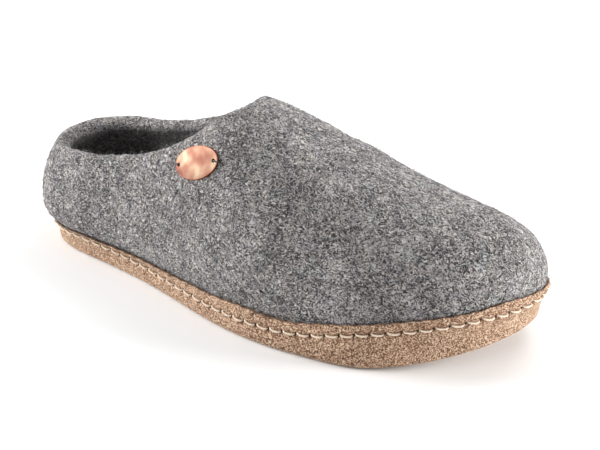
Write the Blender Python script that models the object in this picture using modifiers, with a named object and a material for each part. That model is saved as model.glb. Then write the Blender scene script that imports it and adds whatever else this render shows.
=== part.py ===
# Felt slipper for the right foot: a felted upper on a suede cup sole, with a footbed and a copper tag.
# Metres. +Z is up, +X points to the toe and +Y to the inner, big-toe side. The origin is on the floor,
# under the middle of the slipper's box.
import math

import bpy
import bmesh
import numpy as np
from mathutils import Vector

# Driving sizes of the last and the sole
soleLength = 0.2650
ballWidth = 0.1050
heelPitch = 0.0366        # from the back of the sole to the middle of the heel
toePitch = 0.0460         # from the tip of the sole to the middle of the toes
insoleLevel = 0.0070      # the cup's floor above the ground
sideHeight = 0.0120       # stitch line above the ground, before its shares
toeSpring = 0.0115        # lift of the tip
springStart = 0.76        # share of the length where the lift begins
throatBack = 0.1285       # from the back of the sole to the throat
throatRadius = 0.0320     # how far the opening's spine stops behind the throat

# Walls and clearances
feltWall = 0.0058
rimWall = 0.0092          # at the rim over the heel, where the felt is thickest
rimRound = 0.0028
suedeWall = 0.0017
footbedThick = 0.0055
footbedRound = 0.0010
seatGap = 0.0003
cupGap = 0.0006           # between the felt and the suede round it
floorGap = 0.0013          # the same at the cup's floor
footbedGap = 0.0006
feltInset = 0.0045        # the felt's foot inside the sole's outline
feltSwell = 0.0088        # how far the felt swells out above the cup
swellBase = 0.0005        # where the swell begins above the cup's floor
swellRise = 0.0140        # from there to its widest
swellFall = 0.0650        # from its widest to where it is gone
edgeRound = 0.0028        # rounded bottom edge of the sole
edgeLevel = 0.0090        # height of the sole's widest line
stitchInset = 0.0010
seamStep = 0.0007         # the flange stands proud of the stitch line
flangeHeight = 0.0045     # flange above the stitch line, before its shares

# Shape of the last's cross sections
crownPower = 2.4
risePower = 2.6
spineBack = 0.0440        # the opening's spine, from which the felt's runs spread, begins here
spineLevel = 0.0297
lowestAim = -62           # degrees from level
highestAim = 87

# Oval tag
tagLength = 0.0266
tagHeight = 0.0158
tagThick = 0.0010
tagHole = 0.0018
tagHoleEdge = 0.0022      # from the tag's tip to its hole's middle
tagBack = 0.1150          # from the back of the sole to the tag's middle
tagLevel = 0.0715
tagTilt = 21.0            # degrees, its front end up

# Mesh fineness
halfStations = 37         # from the heel's middle to the toe's, on each side
feltRings = 17
rolledFrom = 8            # ring from which the felt thickens towards the heel's rim
ringSpread = 1.30         # the felt's rings lie closer together towards its foot
runPoints = 110
edgeSteps = 3
tagAround = 32
tagShares = (0.28, 0.62, 1.0)
drillSides = 12
lipRow = edgeSteps + 5      # the sole's ring at the flange's inner edge, after which its rings go down
searchDepth = 0.020       # how far under the surface a search along a line begins

# Footbed's side: shares of its thickness, then of its rounding
footbedSide = (
    # rise, tuck
    (0.00, 0.6),
    (0.30, 0.0),
    (0.75, 0.0),
    (1.00, 1.0),
)

# Sole outline seen from above: shares of sole length and ball width, then shares of the side
# height, the felt's swell, the flange above the stitches and the bottom edge's undercut
outlineTable = (
    # name, along, across, side, swell, flange, undercut
    ("heel back", 0.000, 0.000, 0.78, 1.38, 0.24, 0.8),
    ("heel outer", 0.046, -0.238, 0.84, 1.38, 0.34, 0.8),
    ("heel side outer", 0.152, -0.315, 0.95, 1.05, 0.45, 0.9),
    ("waist outer", 0.329, -0.384, 0.89, 0.62, 0.62, 0.8),
    ("joint outer", 0.518, -0.505, 0.94, 0.28, 0.85, 0.8),
    ("ball outer", 0.653, -0.523, 1.06, 0.06, 0.80, 0.8),
    ("forefoot outer", 0.722, -0.502, 1.24, 0.12, 0.84, 0.9),
    ("toe side outer", 0.790, -0.464, 1.54, 0.26, 0.92, 0.8),
    ("toe outer", 0.879, -0.322, 1.62, 0.72, 1.40, 1.0),
    ("toe corner outer", 0.952, -0.142, 1.50, 0.90, 1.50, 1.4),
    ("toe tip", 0.995, 0.098, 1.26, 0.98, 1.10, 1.6),
    ("toe inner", 0.962, 0.332, 1.14, 0.72, 1.05, 1.4),
    ("ball inner", 0.730, 0.490, 1.02, 0.15, 1.00, 1.0),
    ("waist inner", 0.430, 0.357, 0.88, 0.45, 0.75, 0.8),
    ("heel side inner", 0.160, 0.320, 0.86, 0.85, 0.40, 0.9),
    ("heel inner", 0.044, 0.227, 0.78, 1.20, 0.26, 0.8),
)

# The last's crown line from the side: behind the throat it is the height to which the walls lean in
crownHeight = 0.0960
crownTable = (
    # along, height
    (0.00, 0.94),
    (0.15, 0.962),
    (0.30, 0.985),
    (0.40, 1.000),
    (0.48, 0.994),
    (0.60, 0.882),
    (0.72, 0.764),
    (0.84, 0.655),
    (0.92, 0.622),
    (1.00, 0.660),
)

# The collar's edge from the side, along from the back of the sole to the throat
collarHeight = 0.0540
collarRise = 0.0420
collarSlant = 0.0036      # how much higher it is on the inner side, over the ball's width
collarLean = 0.0024       # how far the rim curls in over the heel, before its shares
collarCurl = 0.0170       # length of felt that curls in
collarTable = (
    # along the opening, share of the rise, share of the lean
    (-0.08, 0.040, 1.0),
    (0.16, 0.060, 1.0),
    (0.36, 0.115, 0.9),
    (0.56, 0.270, 0.7),
    (0.72, 0.480, 0.5),
    (0.84, 0.710, 0.3),
    (0.93, 0.920, 0.1),
    (1.00, 1.060, 0.0),
    (1.06, 1.280, 0.0),
)


def makeMaterial(name, colour, roughness, metallic):
    material = bpy.data.materials.new(name)
    material.use_nodes = True
    shader = material.node_tree.nodes["Principled BSDF"]
    shader.inputs["Base Color"].default_value = (*colour, 1.0)
    shader.inputs["Roughness"].default_value = roughness
    shader.inputs["Metallic"].default_value = metallic
    return material


def addObject(name, mesh, collection, material):
    mesh.materials.append(material)
    item = bpy.data.objects.new(name, mesh)
    collection.objects.link(item)
    return item


def closedCurve(rows, stepsEach=48):
    """A smooth closed curve through rows whose first two columns are X and Y."""
    rows = np.asarray(rows, float)
    count = len(rows)
    following = np.roll(rows, -1, axis=0)
    spans = np.sqrt(np.linalg.norm(following[:, :2] - rows[:, :2], axis=1))
    matrix = np.zeros((count, count))
    target = np.zeros_like(rows)
    for i in range(count):
        before = spans[i - 1]
        after = spans[i]
        matrix[i, i - 1] += 1 / before
        matrix[i, i] += 2 * (1 / before + 1 / after)
        matrix[i, (i + 1) % count] += 1 / after
        target[i] = 3 * ((rows[i] - rows[i - 1]) / before ** 2 + (following[i] - rows[i]) / after ** 2)
    tangents = np.linalg.solve(matrix, target)
    pieces = []
    for i in range(count):
        u = np.linspace(0, 1, stepsEach, endpoint=False)[:, None]
        start = (2 * u ** 3 - 3 * u ** 2 + 1) * rows[i]
        start = start + (u ** 3 - 2 * u ** 2 + u) * spans[i] * tangents[i]
        end = (3 * u ** 2 - 2 * u ** 3) * following[i]
        end = end + (u ** 3 - u ** 2) * spans[i] * tangents[(i + 1) % count]
        pieces.append(start + end)
    return np.vstack(pieces)


def smoothTable(table, at, column=1):
    """Reads a column of a table with a smooth curve through its rows."""
    keys = np.array([row[0] for row in table])
    values = np.array([row[column] for row in table])
    slopes = np.gradient(values, keys)
    at = np.clip(at, keys[0], keys[-1])
    k = np.clip(np.searchsorted(keys, at, side="right") - 1, 0, len(keys) - 2)
    span = keys[k + 1] - keys[k]
    u = (at - keys[k]) / span
    low = (2 * u ** 3 - 3 * u ** 2 + 1) * values[k] + (u ** 3 - 2 * u ** 2 + u) * span * slopes[k]
    high = (3 * u ** 2 - 2 * u ** 3) * values[k + 1] + (u ** 3 - u ** 2) * span * slopes[k + 1]
    return low + high


class Last:
    """The form that the felt is shaped on, with the sole's outline round its foot."""

    def __init__(self):
        rows = []
        for name, along, across, side, swell, flange, undercut in outlineTable:
            rows.append((along * soleLength, across * ballWidth, side, swell, flange, undercut))
        curve = closedCurve(rows)
        toe = int(np.argmax(curve[:, 0]))
        back = int(np.argmin(curve[:, 0]))
        curve = np.roll(curve, -back, axis=0)
        toe = (toe - back) % len(curve)
        self.curve = curve
        self.outer = curve[:toe + 1]
        self.inner = np.vstack([curve[toe:], curve[:1]])[::-1]
        self.front = curve[toe, 0]
        self.heel = np.array([heelPitch, self.middle(heelPitch)])
        self.toes = np.array([soleLength - toePitch, self.middle(soleLength - toePitch)])
        self.fans = [self.fan(self.heel), self.fan(self.toes)]

    def middle(self, x):
        outer = np.interp(x, self.outer[:, 0], self.outer[:, 1])
        inner = np.interp(x, self.inner[:, 0], self.inner[:, 1])
        return 0.5 * (outer + inner)

    def fan(self, centre):
        """The outline's distance and swell by direction from a centre."""
        away = self.curve[:, :2] - centre
        angle = np.arctan2(away[:, 1], away[:, 0])
        order = np.argsort(angle)
        turns = [angle[order] - math.tau, angle[order], angle[order] + math.tau]
        distance = np.tile(np.linalg.norm(away, axis=1)[order], 3)
        return np.concatenate(turns), distance, np.tile(self.curve[order, 3], 3)

    def spring(self, x):
        """Height of the sole's underside above the floor."""
        beyond = np.clip((x / soleLength - springStart) / (1 - springStart), 0, None)
        return toeSpring * beyond ** 2

    def swell(self, above):
        """Share of the felt's swell at a height above where it begins."""
        up = above / swellRise
        down = np.clip((up - 1) * swellRise / swellFall, 0, 1)
        share = np.where(up < 1, np.sin(np.clip(up, 0, 1) * math.pi / 2), np.cos(down * math.pi / 2))
        return np.where(up < 0, 0.0, share)

    def depth(self, points):
        """Below zero inside the last and above zero outside it."""
        x, y, z = points[..., 0], points[..., 1], points[..., 2]
        outer = np.interp(x, self.outer[:, 0], self.outer[:, 1])
        inner = np.interp(x, self.inner[:, 0], self.inner[:, 1])
        centre = 0.5 * (outer + inner)
        across = np.abs(y - centre)
        halfWidth = 0.5 * (inner - outer)
        swellOuter = np.interp(x, self.outer[:, 0], self.outer[:, 3])
        swellInner = np.interp(x, self.inner[:, 0], self.inner[:, 3])
        swell = np.where(y < centre, swellOuter, swellInner)
        ends = ((x < self.heel[0], self.heel, self.fans[0]), (x > self.toes[0], self.toes, self.fans[1]))
        for beyond, pivot, (angles, reaches, swells) in ends:
            angle = np.arctan2(y - pivot[1], x - pivot[0])
            across = np.where(beyond, np.hypot(x - pivot[0], y - pivot[1]), across)
            halfWidth = np.where(beyond, np.interp(angle, angles, reaches), halfWidth)
            swell = np.where(beyond, np.interp(angle, angles, swells), swell)
        above = z - insoleLevel - self.spring(x) - swellBase
        halfWidth = halfWidth - feltInset + feltSwell * swell * self.swell(above)
        crown = crownHeight * smoothTable(crownTable, x / soleLength) - insoleLevel
        rise = np.clip(z - insoleLevel - self.spring(x), 0, None) / crown
        return (across / halfWidth) ** crownPower + rise ** risePower - 1

    def collar(self, points):
        """Height of the collar's edge at each point's place."""
        level = collarHeight + collarRise * smoothTable(collarTable, points[:, 0] / throatBack)
        return level + collarSlant * (points[:, 1] - self.middle(points[:, 0])) / ballWidth

    def stations(self):
        """Points round the outline, level with each other on the two sides, and their outward normals."""
        turn = np.linspace(0, math.pi, halfStations + 1)
        along = self.front * (1 - np.cos(turn)) / 2
        sides = []
        for side in (self.outer, self.inner):
            run = np.concatenate([[0], np.cumsum(np.linalg.norm(np.diff(side[:, :2], axis=0), axis=1))])
            marks = np.interp(along, side[:, 0], run)
            even = np.linspace(0, run[-1], halfStations + 1)
            marks = 0.5 * marks + 0.5 * even
            sides.append(np.stack([np.interp(marks, run, side[:, k]) for k in range(side.shape[1])], 1))
        ring = np.vstack([sides[0], sides[1][-2:0:-1]])
        ahead = np.roll(ring[:, :2], -1, axis=0) - np.roll(ring[:, :2], 1, axis=0)
        ahead = ahead / np.linalg.norm(ahead, axis=1)[:, None]
        normals = np.stack([ahead[:, 1], -ahead[:, 0], np.zeros(len(ring))], 1)
        return ring, normals

    def meridians(self, ring):
        """Runs up the last from the cup's floor, one for each station, as fine rows of points."""
        endX = throatBack - throatRadius
        middle = 0.5 * (spineBack + endX)
        pivotY = self.middle(middle)
        angle = np.arctan2(ring[:, 1] - pivotY, ring[:, 0] - middle)
        pivots = np.stack([middle + 0.5 * (endX - spineBack) * np.cos(angle), np.full(len(ring), pivotY)], 1)
        away = ring[:, :2] - pivots
        away = away / np.linalg.norm(away, axis=1)[:, None]
        tilt = np.radians(np.linspace(lowestAim, highestAim, runPoints))
        aim = np.empty((len(ring), runPoints, 3))
        aim[..., 0] = away[:, None, 0] * np.cos(tilt)
        aim[..., 1] = away[:, None, 1] * np.cos(tilt)
        aim[..., 2] = np.sin(tilt)
        start = np.empty((len(ring), 1, 3))
        start[:, 0, :2] = pivots
        start[:, 0, 2] = spineLevel
        low = np.zeros((len(ring), runPoints))
        high = np.full((len(ring), runPoints), soleLength)
        for _ in range(36):
            mid = 0.5 * (low + high)
            inside = self.depth(start + aim * mid[..., None]) < 0
            low = np.where(inside, mid, low)
            high = np.where(inside, high, mid)
        return start + aim * low[..., None]

    def crossing(self, run, level):
        """Where a run first rises through a level given for each of its points."""
        above = run[:, 2] - level
        k = int(np.argmax(above > 0)) if (above > 0).any() else len(run) - 1
        share = above[k - 1] / (above[k - 1] - above[k])
        return k, run[k - 1] + share * (run[k] - run[k - 1])


def cupLevels(ring):
    """Heights above the underside of the cup's floor, stitch line, mid flange and flange edge."""
    seam = sideHeight * ring[:, 2]
    lip = seam + flangeHeight * ring[:, 4]
    return [np.full(len(ring), insoleLevel), seam, 0.5 * (seam + lip), lip]


def upperRings(last, ring):
    """The felt's outer surface: rings of points from its foot, level with the cup's lines, to the collar."""
    columns = []
    levels = np.array(cupLevels(ring)[1:]).T + last.spring(ring[:, 0])[:, None]
    for run, lines in zip(last.meridians(ring), levels):
        base = insoleLevel + seatGap + last.spring(run[:, 0])
        first, foot = last.crossing(run, base)
        final, edge = last.crossing(run, last.collar(run))
        line = np.vstack([foot, run[first:final], edge])
        length = np.concatenate([[0], np.cumsum(np.linalg.norm(np.diff(line, axis=0), axis=1))])
        marks = np.interp(lines, line[:, 2], length)
        free = np.linspace(0, 1, feltRings - len(lines)) ** ringSpread
        marks = np.concatenate([[0], marks, marks[-1] + (length[-1] - marks[-1]) * free[1:]])
        column = np.stack([np.interp(marks, length, line[:, k]) for k in range(3)], 1)
        curl = np.clip(1 - (length[-1] - marks) / collarCurl, 0, None) ** 2
        lean = collarLean * smoothTable(collarTable, edge[0] / throatBack, 2)
        spineX = np.clip(edge[0], spineBack, throatBack - throatRadius)
        inward = np.array([spineX, last.middle(spineX), edge[2]]) - edge
        column = column + (curl * lean)[:, None] * inward / np.linalg.norm(inward)
        columns.append(column)
    return np.array(columns).transpose(1, 0, 2)


def feltAt(felt, levels):
    """A point of the felt's outer facets at a height for each station."""
    found = []
    for column, level in zip(felt.transpose(1, 0, 2), levels):
        k = int(np.clip(np.searchsorted(column[:, 2], level), 1, len(column) - 1))
        share = (level - column[k - 1, 2]) / (column[k, 2] - column[k - 1, 2])
        found.append(column[k - 1] + share * (column[k] - column[k - 1]))
    return np.array(found)


def feltInsideAt(felt, normals, levels):
    """A point of the felt's inner surface at a height for each station."""
    step = 0.25 * feltWall
    rise = feltAt(felt, levels + step) - feltAt(felt, levels - step)
    slope = (rise * normals).sum(axis=1) / (2 * step)
    return feltAt(felt, levels) - normals * (feltWall * np.sqrt(1 + slope ** 2))[:, None]


def gridFaces(bm, rows, falling=False):
    """Quads between closed rings of vertices, each split from its low corner i to its high corner j."""
    for lower, upper in zip(rows, rows[1:]):
        count = len(lower)
        for i in range(count):
            j = (i + 1) % count
            if falling:
                bm.faces.new((lower[j], upper[j], upper[i], lower[i]))
            else:
                bm.faces.new((lower[i], lower[j], upper[j], upper[i]))


def ladderFaces(bm, verts, facingUp):
    """Closes a ring across, from each outer station to the inner one level with it."""
    count = len(verts)
    last = count // 2
    for i in range(last):
        quad = [verts[i], verts[i + 1], verts[(count - i - 1) % count], verts[(count - i) % count]]
        corners = list(dict.fromkeys(quad))
        if not facingUp:
            corners.reverse()
        bm.faces.new(corners)


def addRows(bm, rings):
    return [[bm.verts.new(point) for point in ring] for ring in rings]


def finishMesh(bm, name, sharpAngle=40):
    bmesh.ops.recalc_face_normals(bm, faces=bm.faces)
    mesh = bpy.data.meshes.new(name)
    bm.to_mesh(mesh)
    bm.free()
    mesh.shade_smooth()
    mesh.set_sharp_from_angle(angle=math.radians(sharpAngle))
    return mesh


def buildUpper(felt, collection):
    """Felt shell: an open surface given its wall inwards, thickest at the heel's rim, with rounded edges."""
    bm = bmesh.new()
    gridFaces(bm, addRows(bm, felt))
    mesh = finishMesh(bm, "upper")
    wool = makeMaterial("wet-felted wool", (0.19, 0.185, 0.185), 0.95, 0.0)
    upper = addObject("upper", mesh, collection, wool)
    rolled = upper.vertex_groups.new(name="rolled rim")
    lean = smoothTable(collarTable, felt[-1][:, 0] / throatBack, 2)
    for k, points in enumerate(felt):
        share = max(0.0, (k - rolledFrom) / (len(felt) - 1 - rolledFrom)) ** 2
        for i in range(len(points)):
            rolled.add([k * len(points) + i], share * lean[i], "REPLACE")
    wall = upper.modifiers.new("felt wall", "SOLIDIFY")
    wall.thickness = rimWall
    wall.vertex_group = "rolled rim"
    wall.thickness_vertex_group = feltWall / rimWall
    wall.offset = -1
    wall.use_even_offset = True
    wall.use_quality_normals = True
    rim = upper.modifiers.new("rounded rim", "BEVEL")
    rim.width = rimRound
    rim.segments = edgeSteps
    rim.limit_method = "ANGLE"
    rim.angle_limit = math.radians(55)
    return upper


def soleRings(last, ring, normals, felt):
    """Rings of the suede cup, from the tread's edge up its side, over the flange and down inside."""
    flat = ring[:, :3].copy()
    flat[:, 2] = last.spring(ring[:, 0])
    undercut = ring[:, 5]
    up = np.array([0, 0, 1])
    seam = cupLevels(ring)[1]
    inner = [felt[k] + normals * cupGap for k in range(4)]
    inner[0] = felt[0] + normals * floorGap
    inner[0][:, 2] = felt[0][:, 2] - seatGap
    rings = []
    for step in range(edgeSteps + 1):
        turn = 0.5 * math.pi * step / edgeSteps
        out = -edgeRound * undercut * (1 - math.sin(turn))
        rise = edgeRound * (1 - math.cos(turn))
        rings.append(flat + normals * out[:, None] + up * rise)
    widest = flat + up * np.minimum(edgeLevel, 0.75 * seam)[:, None]
    share = (widest[:, 2] - inner[0][:, 2]) / (inner[1][:, 2] - inner[0][:, 2])
    beside = inner[0] + (inner[1] - inner[0]) * share[:, None]
    rings.append(atLeast(widest, beside, normals))
    stitch = flat + normals * -stitchInset + up * seam[:, None]
    rings.append(atLeast(stitch, inner[1], normals))
    shoulder = flat + normals * -(stitchInset - seamStep)
    shoulder[:, 2] = inner[2][:, 2]
    rings.append(atLeast(shoulder, inner[2], normals))
    rings.append(inner[3] + normals * suedeWall)
    rings.append(inner[3])
    rings.append(inner[2])
    rings.append(inner[1])
    rings.append(inner[0])
    return rings


def atLeast(points, inside, normals):
    """Moves points outwards until the suede has its thickness over the surface inside."""
    room = ((points - inside)[:, :2] * normals[:, :2]).sum(axis=1)
    lack = np.clip(suedeWall - room, 0, None)
    return points + normals * lack[:, None]


def buildSole(last, ring, normals, felt, collection):
    bm = bmesh.new()
    rows = addRows(bm, soleRings(last, ring, normals, felt))
    gridFaces(bm, rows[:lipRow + 1])
    gridFaces(bm, rows[lipRow:], falling=True)
    ladderFaces(bm, rows[0], facingUp=False)
    ladderFaces(bm, rows[-1], facingUp=True)
    mesh = finishMesh(bm, "sole")
    suede = makeMaterial("suede split leather", (0.53, 0.35, 0.22), 0.9, 0.0)
    return addObject("sole", mesh, collection, suede)


def buildInsole(last, ring, normals, felt, collection):
    """Felt footbed on the cup's floor, inside the upper's foot."""
    lift = last.spring(ring[:, 0])
    base = insoleLevel + seatGap
    rows = []
    for rise, tuck in footbedSide:
        level = base + footbedThick * rise
        edge = feltInsideAt(felt, normals, level + lift) - normals * (footbedGap + footbedRound * tuck)
        edge[:, 2] = level + lift
        rows.append(edge)
    bm = bmesh.new()
    verts = addRows(bm, rows)
    gridFaces(bm, verts)
    ladderFaces(bm, verts[0], facingUp=False)
    ladderFaces(bm, verts[-1], facingUp=True)
    mesh = finishMesh(bm, "insole")
    wool = makeMaterial("wool footbed", (0.12, 0.118, 0.118), 0.95, 0.0)
    return addObject("insole", mesh, collection, wool)


def surfacePoint(last, origin, aim):
    """Where a line from inside the last comes out."""
    low, high = 0.0, soleLength
    for _ in range(40):
        mid = 0.5 * (low + high)
        if last.depth(origin + aim * mid) < 0:
            low = mid
        else:
            high = mid
    return origin + aim * low


def tagFrame(last):
    """The tag's middle on the felt's outer side, with its outward, along and up directions."""
    heart = np.array([tagBack, last.middle(tagBack), tagLevel])
    side = np.array([0.0, -1.0, 0.0])
    place = surfacePoint(last, heart, side)
    step = tagLength / 6
    fore = surfacePoint(last, heart + np.array([step, 0, 0]), side)
    high = surfacePoint(last, heart + np.array([0, 0, step]), side)
    along = (fore - place) / np.linalg.norm(fore - place)
    out = np.cross(along, high - place)
    out = out / np.linalg.norm(out)
    if out[1] > 0:
        out = -out
    upward = np.cross(out, along)
    if upward[2] < 0:
        upward = -upward
    return place, out, along, upward


def buildTag(last, collection, cutters):
    """Oval copper plate that follows the felt, with a sewing hole near each tip."""
    place, out, along, upward = tagFrame(last)
    tilt = math.radians(tagTilt)
    level, plumb = along, upward
    along = level * math.cos(tilt) + plumb * math.sin(tilt)
    upward = plumb * math.cos(tilt) - level * math.sin(tilt)
    bm = bmesh.new()
    faces = []
    for lift in (seatGap, seatGap + tagThick):
        rings = []
        for share in tagShares:
            ringVerts = []
            for i in range(tagAround):
                turn = math.tau * i / tagAround
                u = 0.5 * tagLength * share * math.cos(turn)
                v = 0.5 * tagHeight * share * math.sin(turn)
                start = place + along * u + upward * v - out * searchDepth
                ringVerts.append(bm.verts.new(surfacePoint(last, start, out) + out * lift))
            rings.append(ringVerts)
        gridFaces(bm, rings)
        bm.faces.new(rings[0])
        faces.append(rings[-1])
    gridFaces(bm, faces)
    mesh = finishMesh(bm, "tag")
    copper = makeMaterial("stamped copper", (0.85, 0.46, 0.30), 0.3, 1.0)
    tag = addObject("tag", mesh, collection, copper)
    for sign in (-1, 1):
        centre = place + along * sign * (0.5 * tagLength - tagHoleEdge)
        centre = surfacePoint(last, centre - out * searchDepth, out)
        drill = bmesh.new()
        bmesh.ops.create_cone(drill, cap_ends=True, segments=drillSides,
                              radius1=tagHole / 2, radius2=tagHole / 2, depth=tagHeight)
        drillMesh = bpy.data.meshes.new("tag hole")
        drill.to_mesh(drillMesh)
        drill.free()
        cutter = bpy.data.objects.new("tag hole", drillMesh)
        cutter.location = Vector(centre)
        cutter.rotation_mode = "QUATERNION"
        cutter.rotation_quaternion = Vector(out).to_track_quat("Z", "Y")
        cutter.hide_render = True
        cutter.display_type = "WIRE"
        cutters.objects.link(cutter)
        cut = tag.modifiers.new("sewing hole", "BOOLEAN")
        cut.operation = "DIFFERENCE"
        cut.solver = "EXACT"
        cut.object = cutter
    return tag


def main():
    for item in list(bpy.data.objects):
        bpy.data.objects.remove(item)
    parts = bpy.data.collections.new("felt slipper")
    cutters = bpy.data.collections.new("cutters")
    bpy.context.scene.collection.children.link(parts)
    bpy.context.scene.collection.children.link(cutters)
    last = Last()
    ring, normals = last.stations()
    felt = upperRings(last, ring)
    sole = buildSole(last, ring, normals, felt, parts)
    upper = buildUpper(felt, parts)
    insole = buildInsole(last, ring, normals, felt, parts)
    tag = buildTag(last, parts, cutters)
    bpy.context.view_layer.update()
    centreOnFloor([sole, upper, insole, tag], cutters)


def centreOnFloor(items, cutters):
    """Puts the origin under the middle of the box round all the pieces."""
    graph = bpy.context.evaluated_depsgraph_get()
    corners = []
    for item in items:
        mesh = item.evaluated_get(graph).data
        points = np.empty(len(mesh.vertices) * 3)
        mesh.vertices.foreach_get("co", points)
        corners.append(points.reshape(-1, 3).min(axis=0))
        corners.append(points.reshape(-1, 3).max(axis=0))
    low = np.min(corners, axis=0)
    high = np.max(corners, axis=0)
    shift = Vector((-0.5 * (low[0] + high[0]), -0.5 * (low[1] + high[1]), -low[2]))
    for item in list(items) + list(cutters.objects):
        item.location += shift


main()
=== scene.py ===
import math

import bpy
import bmesh
import numpy as np
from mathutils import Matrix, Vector, noise
from mathutils.bvhtree import BVHTree


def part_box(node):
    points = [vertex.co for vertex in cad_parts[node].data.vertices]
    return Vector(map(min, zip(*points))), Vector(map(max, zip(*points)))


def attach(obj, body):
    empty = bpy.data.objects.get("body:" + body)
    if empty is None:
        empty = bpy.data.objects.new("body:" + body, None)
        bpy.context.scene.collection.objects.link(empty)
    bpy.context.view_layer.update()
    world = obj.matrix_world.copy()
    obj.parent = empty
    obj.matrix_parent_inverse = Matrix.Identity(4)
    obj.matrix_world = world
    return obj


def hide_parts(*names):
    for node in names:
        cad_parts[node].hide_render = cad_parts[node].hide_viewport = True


# Grey felt slipper for the right foot, on a stitched suede cup sole.
# Metres. +X points to the toe, +Y to the inner side and +Z up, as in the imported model.

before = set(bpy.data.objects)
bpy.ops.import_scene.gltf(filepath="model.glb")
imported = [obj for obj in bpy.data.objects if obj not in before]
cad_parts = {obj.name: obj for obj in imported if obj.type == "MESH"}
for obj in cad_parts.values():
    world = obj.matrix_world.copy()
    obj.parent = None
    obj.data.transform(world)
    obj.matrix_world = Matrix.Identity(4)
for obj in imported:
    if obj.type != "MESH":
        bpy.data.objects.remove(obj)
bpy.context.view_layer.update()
scene = bpy.context.scene
mm = 0.001
pieces = []


# Helpers for objects
def linkObject(name, data):
    item = bpy.data.objects.new(name, data)
    scene.collection.objects.link(item)
    return item


def turnTo(item, direction):
    item.rotation_mode = "QUATERNION"
    item.rotation_quaternion = direction.to_track_quat("Z", "Y")


def linkPiece(name, mesh, material, slot):
    mesh.materials.clear()
    mesh.materials.append(material)
    mesh.shade_smooth()
    piece = linkObject(name, mesh)
    pieces.append((piece, slot))
    return piece


# Helpers for nodes and colours
def setInputs(tree, node, links):
    # A node that is given as a source stands for its first output
    for socket, source in links.items():
        if isinstance(source, bpy.types.Node):
            source = source.outputs[0]
        if isinstance(source, bpy.types.NodeSocket):
            tree.links.new(source, node.inputs[socket])
        else:
            node.inputs[socket].default_value = source


def addNode(tree, kind, links=None, **settings):
    node = tree.nodes.new(kind)
    for name, value in settings.items():
        setattr(node, name, value)
    setInputs(tree, node, links or {})
    return node


def colourOf(code):
    values = [int(code[i:i + 2], 16) / 255 for i in (1, 3, 5)]
    linear = [v / 12.92 if v <= 0.04045 else ((v + 0.055) / 1.055) ** 2.4 for v in values]
    return (*linear, 1.0)


def fillRamp(node, stops):
    ramp = node.color_ramp
    while len(ramp.elements) < len(stops):
        ramp.elements.new(0.5)
    for element, (place, code) in zip(ramp.elements, stops):
        element.position = place
        element.color = colourOf(code)
    return node.outputs["Color"]


def newMaterial(name):
    material = bpy.data.materials.new(name)
    material.use_nodes = True
    return material, material.node_tree, material.node_tree.nodes["Principled BSDF"]


def inMillimetres(tree):
    place = addNode(tree, "ShaderNodeTexCoord")
    return addNode(tree, "ShaderNodeVectorMath", {
        0: place.outputs["Object"], "Scale": 1 / mm}, operation="SCALE")


# Helpers for meshes
def evaluatedMesh(item, name):
    graph = bpy.context.evaluated_depsgraph_get()
    mesh = bpy.data.meshes.new_from_object(item.evaluated_get(graph), depsgraph=graph)
    mesh.name = name
    return mesh


def meshFrom(bm, name):
    mesh = bpy.data.meshes.new(name)
    bm.to_mesh(mesh)
    bm.free()
    return mesh


def fineCopy(nodeName, levels):
    # The node's loose triangles are merged, paired into quads and subdivided
    bm = bmesh.new()
    bm.from_mesh(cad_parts[nodeName].data)
    bmesh.ops.remove_doubles(bm, verts=bm.verts, dist=0.001 * mm)
    bmesh.ops.join_triangles(bm, faces=bm.faces, angle_face_threshold=math.radians(50),
                             angle_shape_threshold=math.radians(70))
    mesh = meshFrom(bm, nodeName + " fine")
    print(nodeName, len(mesh.polygons), "faces,", sum(len(p.vertices) == 3 for p in mesh.polygons),
            "triangles")
    item = linkObject(nodeName + " fine", mesh)
    finer = item.modifiers.new("Subdivision", "SUBSURF")
    finer.levels = levels
    finer.render_levels = levels
    fine = evaluatedMesh(item, nodeName + " fine")
    bpy.data.objects.remove(item)
    return fine


def surfaceOf(mesh):
    return BVHTree.FromPolygons([v.co for v in mesh.vertices], [p.vertices for p in mesh.polygons])


def pointsOf(mesh):
    points = np.empty(len(mesh.vertices) * 3)
    mesh.vertices.foreach_get("co", points)
    return points.reshape(-1, 3)


def normalsOf(mesh):
    normals = np.empty(len(mesh.vertices) * 3)
    mesh.vertex_normals.foreach_get("vector", normals)
    return normals.reshape(-1, 3)


def cornersOf(mesh):
    corners = np.empty(len(mesh.loops), np.int64)
    mesh.loops.foreach_get("vertex_index", corners)
    return corners


def setPoints(mesh, points):
    mesh.vertices.foreach_set("co", points.ravel())
    mesh.update()


def addValues(mesh, name, values):
    layer = mesh.attributes.new(name, "FLOAT", "POINT")
    layer.data.foreach_set("value", np.asarray(values, np.float32))


def addMap(mesh, name, places):
    layer = mesh.uv_layers.new(name=name)
    layer.data.foreach_set("uv", places.astype(np.float32).ravel())


def lumps(points, size, seed):
    # Smooth noise from about -1 to 1 with lumps of the given size
    shift = Vector((seed * 7.31, seed * 3.17, seed * 5.71))
    return np.array([noise.noise(Vector(p) / size + shift) for p in points])


def smoothStep(low, high, values):
    share = np.clip((values - low) / (high - low), 0, 1)
    return share * share * (3 - 2 * share)


def unit(vectors):
    return vectors / np.linalg.norm(vectors, axis=1)[:, None]


# Camera, at the photograph's angle
cameraSizes = {
    "azimuth": 34.6,
    "elevation": 24.55,
    "distance": 0.600,
    "aimAhead": 0.1338,          # its aim, ahead of the sole's back
    "aimHeight": 0.040,
    "lens": 74.55,
    "sensor": 36.0,
    "shift": (0.0490, -0.0273),
}


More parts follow.
